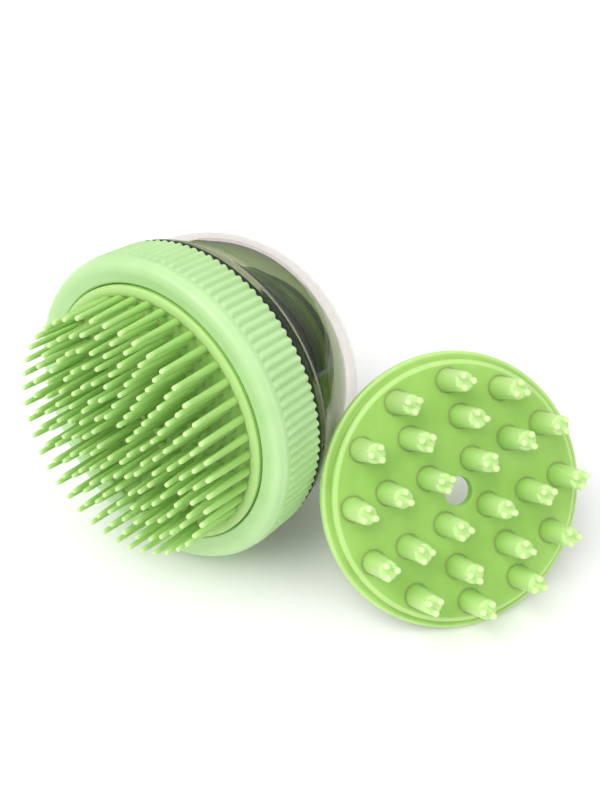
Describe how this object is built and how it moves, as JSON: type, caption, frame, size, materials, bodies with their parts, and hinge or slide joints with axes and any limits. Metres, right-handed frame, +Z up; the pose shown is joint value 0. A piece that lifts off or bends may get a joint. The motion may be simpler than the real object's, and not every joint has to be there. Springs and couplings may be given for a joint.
{
  "type": "scalp massager brush",
  "caption": "Scalp massage brush with a clear liquid reservoir, twist-off ribbed ring, fine-bristle silicone head, rear push button and a spare finger massage head leaning on it",
  "frame": {"origin": "on the floor, under the centre of the set's bounding box", "axes": "+Z up; +X runs from the brush towards the spare head; +Y points away from the side the bristles face"},
  "size_m": [0.1522, 0.1035, 0.0886],
  "materials": {
    "clear_plastic": "polished clear",
    "mint_plastic": "fine satin",
    "green_plastic": "gloss",
    "green_silicone": "soft satin",
    "spare_silicone": "soft satin",
    "dark_green_silicone": "soft satin",
    "clear_silicone": "soft satin",
    "dark_rubber": "matte"
  },
  "bodies": {
    "reservoir": {"reservoir_shell": "clear_plastic", "reservoir_gasket": "dark_rubber", "button_bezel": "green_plastic", "bezel_seal": "clear_silicone", "clamp_nut": "green_plastic"},
    "head": {"outlet_plate": "green_plastic", "plate_seal": "dark_rubber", "outlet_valve": "clear_silicone", "valve_retainer": "green_plastic", "bristle_pad": "green_silicone"},
    "ring": {"locking_ring": "mint_plastic"},
    "button": {"push_button": "dark_green_silicone"},
    "spare_head": {"spare_massage_head": "spare_silicone"}
  },
  "joints": [
    {"name": "head_lift", "type": "slide", "parent": "reservoir", "child": "head", "axis": [-0.6042, -0.7744, 0.1876], "range_m": [0, 0.0046]},
    {"name": "ring_twist", "type": "hinge", "parent": "head", "child": "ring", "pos_m": [-0.03407, 0.00148, 0.04403], "axis": [-0.6042, -0.7744, 0.1876], "range_deg": [0, 415]},
    {"name": "button_press", "type": "slide", "parent": "reservoir", "child": "button", "axis": [-0.6042, -0.7744, 0.1876], "range_m": [0, 0.004], "stiffness_N_per_m": 800},
    {"name": "spare_head_slide", "type": "slide", "parent": "reservoir", "child": "spare_head", "axis": [1, 0, 0], "range_m": [0, 0.06]}
  ],
  "couplings": [
    {"joint": "ring_twist", "follows": "head_lift", "rad_per_m": 1570.8}
  ]
}
